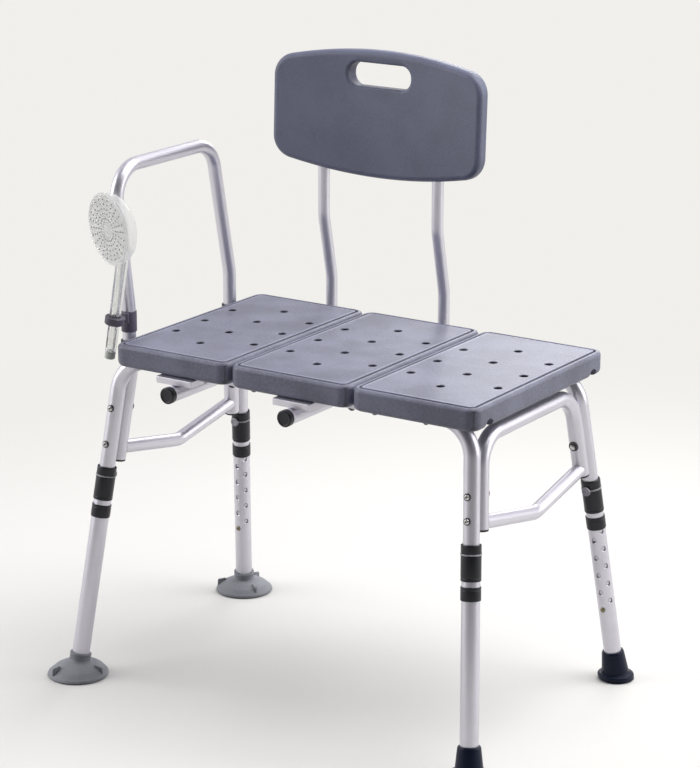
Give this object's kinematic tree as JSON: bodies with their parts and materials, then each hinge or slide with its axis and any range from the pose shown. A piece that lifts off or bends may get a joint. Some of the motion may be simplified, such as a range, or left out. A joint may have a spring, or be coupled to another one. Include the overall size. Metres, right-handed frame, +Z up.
{
  "type": "tub transfer bench",
  "caption": "Tub transfer bench: drained plastic seat panels on a splayed tube frame with telescopic legs, suction feet, backrest, armrest and a hand shower in a holder.",
  "frame": {"origin": "on the floor, in the middle of the outline over the feet", "axes": "+Z up; +Y from the front edge of the seat to the backrest; +X along the bench from the armrest end, which stands in the bath, to the open end"},
  "size_m": [0.8229, 0.569, 0.991],
  "materials": {
    "seat_plastic": "matte, finely grained",
    "back_plastic": "matte, finely grained",
    "anodised_aluminium": "satin anodised",
    "black_plastic": "satin",
    "grey_plastic": "satin",
    "grey_rubber": "matte",
    "black_rubber": "matte",
    "holder_plastic": "satin",
    "shower_plastic": "glossy",
    "nut_plastic": "satin"
  },
  "bodies": {
    "frame": {"seat_panel_left": "seat_plastic", "seat_panel_middle": "seat_plastic", "seat_panel_right": "seat_plastic", "front_bow": "anodised_aluminium", "rear_bow": "anodised_aluminium", "end_arch": "anodised_aluminium", "arm_receiver_front": "anodised_aluminium", "arm_receiver_rear": "anodised_aluminium", "brace_left": "anodised_aluminium", "brace_right": "anodised_aluminium", "end_plug_right_front": "black_plastic", "end_plug_right_rear": "black_plastic", "end_plug_left_front": "black_plastic", "end_plug_left_rear": "black_plastic", "back_socket_left": "anodised_aluminium", "back_socket_right": "anodised_aluminium", "socket_plug_left": "black_plastic", "socket_plug_right": "black_plastic", "socket_saddle_left": "anodised_aluminium", "socket_saddle_right": "anodised_aluminium", "armrest_hoop": "anodised_aluminium", "arm_ferrule_front": "black_plastic", "arm_ferrule_rear": "black_plastic", "holder_clamp": "holder_plastic"},
    "leg_left_front": {"leg_tube_left_front": "anodised_aluminium", "upper_collar_left_front": "black_plastic", "lower_collar_left_front": "black_plastic", "lock_ring_left_front": "grey_plastic", "suction_foot_left_front": "grey_rubber"},
    "button_left_front": {"lock_button_left_front": "grey_plastic"},
    "leg_left_rear": {"leg_tube_left_rear": "anodised_aluminium", "upper_collar_left_rear": "black_plastic", "lower_collar_left_rear": "black_plastic", "lock_ring_left_rear": "grey_plastic", "suction_foot_left_rear": "grey_rubber"},
    "button_left_rear": {"lock_button_left_rear": "grey_plastic"},
    "leg_right_front": {"leg_tube_right_front": "anodised_aluminium", "upper_collar_right_front": "black_plastic", "lower_collar_right_front": "black_plastic", "lock_ring_right_front": "grey_plastic", "rubber_tip_right_front": "black_rubber"},
    "button_right_front": {"lock_button_right_front": "grey_plastic"},
    "leg_right_rear": {"leg_tube_right_rear": "anodised_aluminium", "upper_collar_right_rear": "black_plastic", "lower_collar_right_rear": "black_plastic", "lock_ring_right_rear": "grey_plastic", "rubber_tip_right_rear": "black_rubber"},
    "button_right_rear": {"lock_button_right_rear": "grey_plastic"},
    "backrest": {"backrest_panel": "back_plastic", "back_post_left": "anodised_aluminium", "back_post_right": "anodised_aluminium"},
    "tilt_ring": {"holder_ring": "holder_plastic"},
    "hand_shower": {"shower_head": "shower_plastic", "shower_face": "shower_plastic", "shower_handle": "shower_plastic", "shower_nut": "nut_plastic"}
  },
  "joints": [
    {"name": "leg_slide_left_front", "type": "slide", "parent": "frame", "child": "leg_left_front", "axis": [-0.0892, -0.1415, -0.9859], "range_m": [0, 0.0919]},
    {"name": "lock_pull_left_front", "type": "slide", "parent": "leg_left_front", "child": "button_left_front", "axis": [-0.0128, 0.9899, -0.1409], "range_m": [0, 0.006], "stiffness_N_per_m": 500, "springref_m": -0.002},
    {"name": "leg_slide_left_rear", "type": "slide", "parent": "frame", "child": "leg_left_rear", "axis": [-0.0892, 0.1415, -0.9859], "range_m": [0, 0.0919]},
    {"name": "lock_pull_left_rear", "type": "slide", "parent": "leg_left_rear", "child": "button_left_rear", "axis": [-0.0128, -0.9899, -0.1409], "range_m": [0, 0.006], "stiffness_N_per_m": 500, "springref_m": -0.002},
    {"name": "leg_slide_right_front", "type": "slide", "parent": "frame", "child": "leg_right_front", "axis": [0.0892, -0.1415, -0.9859], "range_m": [0, 0.0919]},
    {"name": "lock_pull_right_front", "type": "slide", "parent": "leg_right_front", "child": "button_right_front", "axis": [0.0128, 0.9899, -0.1409], "range_m": [0, 0.006], "stiffness_N_per_m": 500, "springref_m": -0.002},
    {"name": "leg_slide_right_rear", "type": "slide", "parent": "frame", "child": "leg_right_rear", "axis": [0.0892, 0.1415, -0.9859], "range_m": [0, 0.0919]},
    {"name": "lock_pull_right_rear", "type": "slide", "parent": "leg_right_rear", "child": "button_right_rear", "axis": [0.0128, -0.9899, -0.1409], "range_m": [0, 0.006], "stiffness_N_per_m": 500, "springref_m": -0.002},
    {"name": "backrest_slide", "type": "slide", "parent": "frame", "child": "backrest", "axis": [0, 1, 0], "range_m": [0, 0.115]},
    {"name": "ring_tilt", "type": "hinge", "parent": "frame", "child": "tilt_ring", "pos_m": [-0.31205, -0.15569, 0.591], "axis": [0, -1, 0], "range_deg": [-30, 10]},
    {"name": "shower_lift", "type": "slide", "parent": "tilt_ring", "child": "hand_shower", "axis": [0.1792, 0, 0.9838], "range_m": [0, 0.085]}
  ]
}
